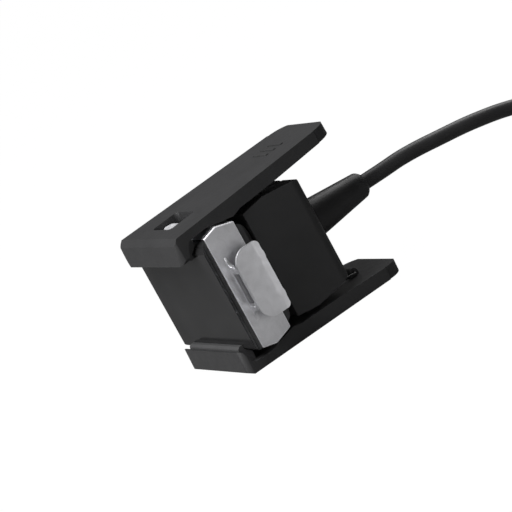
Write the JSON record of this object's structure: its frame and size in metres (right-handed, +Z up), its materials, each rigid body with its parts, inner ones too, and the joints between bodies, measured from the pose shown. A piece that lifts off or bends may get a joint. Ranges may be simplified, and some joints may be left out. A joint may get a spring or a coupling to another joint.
{
  "type": "fitness tracker in charging clip",
  "caption": "Fitness tracker module without its bands, held between the sprung arms of a charging clip with a USB lead.",
  "frame": {"origin": "centre of the clip and tracker's footprint, on the surface that the lower arm lies on; the lead is not counted", "axes": "+X from the jaw tips towards the handles and the lead, +Y across the arms, +Z up from the lower arm to the upper arm"},
  "size_m": [0.1746, 0.0312, 0.0281],
  "materials": {
    "clip_plastic": "matte, very fine moulded grain",
    "hub_plastic": "matte, fine moulded grain",
    "grip_rubber": "matte",
    "spring_steel": "drawn wire",
    "pin_steel": "ground",
    "gold_plate": "gold plated",
    "circuit_board": "solder mask",
    "cable_jacket": "satin",
    "plug_plastic": "satin",
    "plug_steel": "nickel plated",
    "tongue_plastic": "satin",
    "cover_glass": "polished black glass",
    "display_panel": "dark",
    "bezel_plastic": "satin",
    "case_metal": "bead blasted",
    "lug_steel": "satin, stamped",
    "button_metal": "satin",
    "back_plastic": "satin",
    "sensor_glass": "polished dark lens",
    "sensor_led": "clear epoxy",
    "battery_foil": "foil"
  },
  "bodies": {
    "hub": {"upper_hinge_pin": "pin_steel", "lower_hinge_pin": "pin_steel", "hub_shell": "hub_plastic", "contact_plate": "hub_plastic", "plate_screws": "pin_steel", "pin_barrels": "gold_plate", "pin_springs": "spring_steel", "hub_board": "circuit_board", "strain_relief": "cable_jacket", "cable_lead": "cable_jacket", "cable_hank": "cable_jacket", "cable_tail": "cable_jacket", "cable_tie": "grip_rubber", "usb_overmould": "plug_plastic", "usb_shell": "plug_steel", "usb_tongue": "tongue_plastic", "usb_contacts": "gold_plate", "display_glass": "cover_glass", "display_panel": "display_panel", "front_bezel": "bezel_plastic", "frame_ring": "case_metal", "end_plate_near": "case_metal", "end_plate_far": "case_metal", "band_lug_near": "lug_steel", "band_lug_far": "lug_steel", "button_switch": "pin_steel", "back_cover": "back_plastic", "back_seal": "grip_rubber", "sensor_window": "sensor_glass", "sensor_leds": "sensor_led", "charge_contacts": "gold_plate", "battery": "battery_foil", "main_board": "circuit_board", "vibration_motor": "pin_steel"},
    "upper_arm": {"upper_arm": "clip_plastic", "upper_jaw_pad": "grip_rubber", "upper_lip_pad": "grip_rubber", "upper_spring": "spring_steel"},
    "lower_arm": {"lower_arm": "clip_plastic", "lower_jaw_pad": "grip_rubber", "lower_lip_pad": "grip_rubber", "lower_spring": "spring_steel"},
    "side_button": {"side_button": "button_metal"},
    "contact_pin_1": {"contact_pin_1": "gold_plate"},
    "contact_pin_2": {"contact_pin_2": "gold_plate"},
    "contact_pin_3": {"contact_pin_3": "gold_plate"},
    "contact_pin_4": {"contact_pin_4": "gold_plate"}
  },
  "joints": [
    {"name": "upper_jaw", "type": "hinge", "parent": "hub", "child": "upper_arm", "pos_m": [-0.00018, 0, 0.02191], "axis": [0, 1, 0], "range_deg": [0, 12], "stiffness_Nm_per_rad": 0.12, "springref_deg": -22.92},
    {"name": "lower_jaw", "type": "hinge", "parent": "hub", "child": "lower_arm", "pos_m": [0.00056, 0, 0.00473], "axis": [0, -1, 0], "range_deg": [0, 12], "stiffness_Nm_per_rad": 0.12, "springref_deg": -22.92},
    {"name": "button_press", "type": "slide", "parent": "hub", "child": "side_button", "axis": [0.0429, 0, -0.9991], "range_m": [0, 0.0004], "stiffness_N_per_m": 500, "springref_m": -0.002},
    {"name": "pin_1_press", "type": "slide", "parent": "hub", "child": "contact_pin_1", "axis": [0.9991, 0, 0.0429], "range_m": [0, 0.0006], "stiffness_N_per_m": 200, "springref_m": -0.002},
    {"name": "pin_2_press", "type": "slide", "parent": "hub", "child": "contact_pin_2", "axis": [0.9991, 0, 0.0429], "range_m": [0, 0.0006], "stiffness_N_per_m": 200, "springref_m": -0.002},
    {"name": "pin_3_press", "type": "slide", "parent": "hub", "child": "contact_pin_3", "axis": [0.9991, 0, 0.0429], "range_m": [0, 0.0006], "stiffness_N_per_m": 200, "springref_m": -0.002},
    {"name": "pin_4_press", "type": "slide", "parent": "hub", "child": "contact_pin_4", "axis": [0.9991, 0, 0.0429], "range_m": [0, 0.0006], "stiffness_N_per_m": 200, "springref_m": -0.002}
  ]
}
